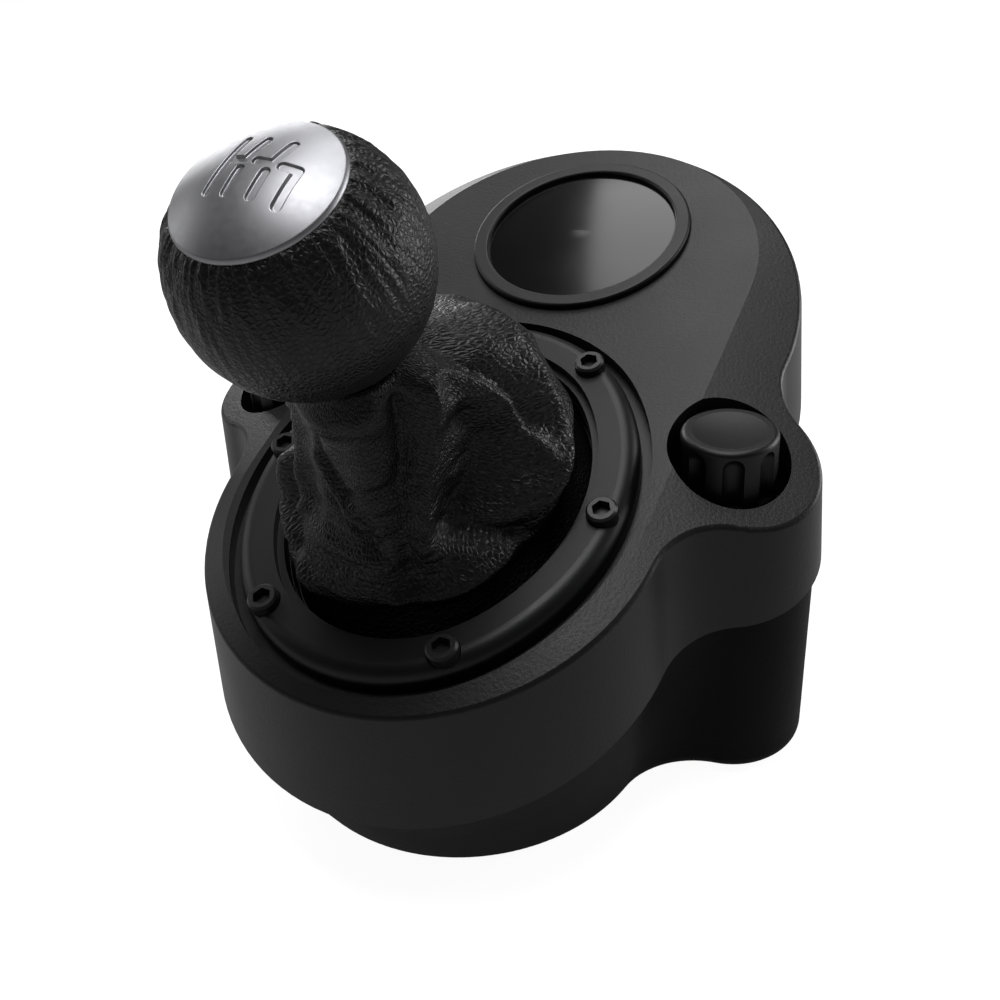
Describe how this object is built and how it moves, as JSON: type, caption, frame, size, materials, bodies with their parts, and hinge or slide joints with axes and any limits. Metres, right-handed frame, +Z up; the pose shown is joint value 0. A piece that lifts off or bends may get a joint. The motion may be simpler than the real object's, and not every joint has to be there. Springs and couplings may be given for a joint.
{
  "type": "sim racing gear shifter",
  "caption": "H-pattern gear shifter for a driving simulator: leather-topped stick in a boot on a sloping lobed body, with two desk clamps turned from above",
  "frame": {"origin": "On the ground, on the front base pad, straight below the point where the boot ring's axis meets the deck", "axes": "+X to the driver's right, +Y away from the driver towards the round cap, +Z up"},
  "size_m": [0.1464, 0.1633, 0.1512],
  "materials": {
    "shell_black": "fine textured moulded plastic",
    "tub_black": "moulded plastic",
    "ring_black": "satin moulded plastic",
    "black_screw": "blackened steel",
    "boot_leather": "grained black leather",
    "frame_plastic": "glass-filled nylon",
    "bezel_black": "satin moulded plastic",
    "gloss_black": "polished",
    "steel": "turned steel",
    "bush_white": "acetal",
    "board_green": "solder mask",
    "rubber_black": "moulded",
    "brass": "turned",
    "knob_leather": "grained black leather",
    "satin_plate": "satin",
    "clamp_black": "satin moulded plastic"
  },
  "bodies": {
    "base": {"upper_shell": "shell_black", "lower_shell": "tub_black", "boot_ring": "ring_black", "ring_screws": "black_screw", "boot": "boot_leather", "boot_frame": "frame_plastic", "cap_bezel": "bezel_black", "cap_disc": "gloss_black", "gimbal_frame": "frame_plastic", "frame_screws": "steel", "gate_plate": "steel", "gate_screws": "steel", "shift_bushes": "bush_white", "shift_sensor": "board_green", "circuit_board": "board_green", "board_screws": "steel", "cable_gland": "rubber_black", "base_screws": "steel", "mount_inserts": "brass", "base_pads": "rubber_black"},
    "yoke": {"shift_yoke": "frame_plastic", "shift_shafts": "steel", "select_bushes": "bush_white"},
    "rocker": {"stick_tube": "frame_plastic", "select_pins": "steel", "push_spring": "steel"},
    "stick": {"stick_rod": "steel", "spring_collar": "steel", "boot_collar": "frame_plastic", "knob_core": "frame_plastic", "knob_leather": "knob_leather", "knob_plate": "satin_plate"},
    "clamp_spindle_left": {"clamp_knob_left": "clamp_black", "clamp_screw_left": "steel"},
    "clamp_slide_left": {"clamp_jaw_left": "tub_black", "clamp_pad_left": "rubber_black"},
    "clamp_spindle_right": {"clamp_knob_right": "clamp_black", "clamp_screw_right": "steel"},
    "clamp_slide_right": {"clamp_jaw_right": "tub_black", "clamp_pad_right": "rubber_black"}
  },
  "joints": [
    {"name": "shift", "type": "hinge", "parent": "base", "child": "yoke", "pos_m": [0, 0.00704, 0.05022], "axis": [-1, 0, 0], "range_deg": [0, 16]},
    {"name": "select", "type": "hinge", "parent": "yoke", "child": "rocker", "pos_m": [0, 0.00704, 0.05022], "axis": [0, 0.891, 0.454], "range_deg": [-9, 9], "stiffness_Nm_per_rad": 1.5},
    {"name": "push", "type": "slide", "parent": "rocker", "child": "stick", "axis": [0, 0.454, -0.891], "range_m": [0, 0.007], "stiffness_N_per_m": 800, "springref_m": -0.012, "deforming": ["push_spring", "boot"]},
    {"name": "clamp_turn_left", "type": "hinge", "parent": "base", "child": "clamp_spindle_left", "pos_m": [-0.0536, 0.0232, 0.06], "axis": [0, 0, 1], "range_deg": [0, 2701]},
    {"name": "clamp_feed_left", "type": "slide", "parent": "base", "child": "clamp_slide_left", "axis": [0, 0, -1], "range_m": [0, 0.03]},
    {"name": "clamp_turn_right", "type": "hinge", "parent": "base", "child": "clamp_spindle_right", "pos_m": [0.0536, 0.0232, 0.06], "axis": [0, 0, 1], "range_deg": [0, 2701]},
    {"name": "clamp_feed_right", "type": "slide", "parent": "base", "child": "clamp_slide_right", "axis": [0, 0, -1], "range_m": [0, 0.03]}
  ],
  "couplings": [
    {"joint": "clamp_turn_left", "follows": "clamp_feed_left", "rad_per_m": 1570.8},
    {"joint": "clamp_turn_right", "follows": "clamp_feed_right", "rad_per_m": 1570.8}
  ]
}
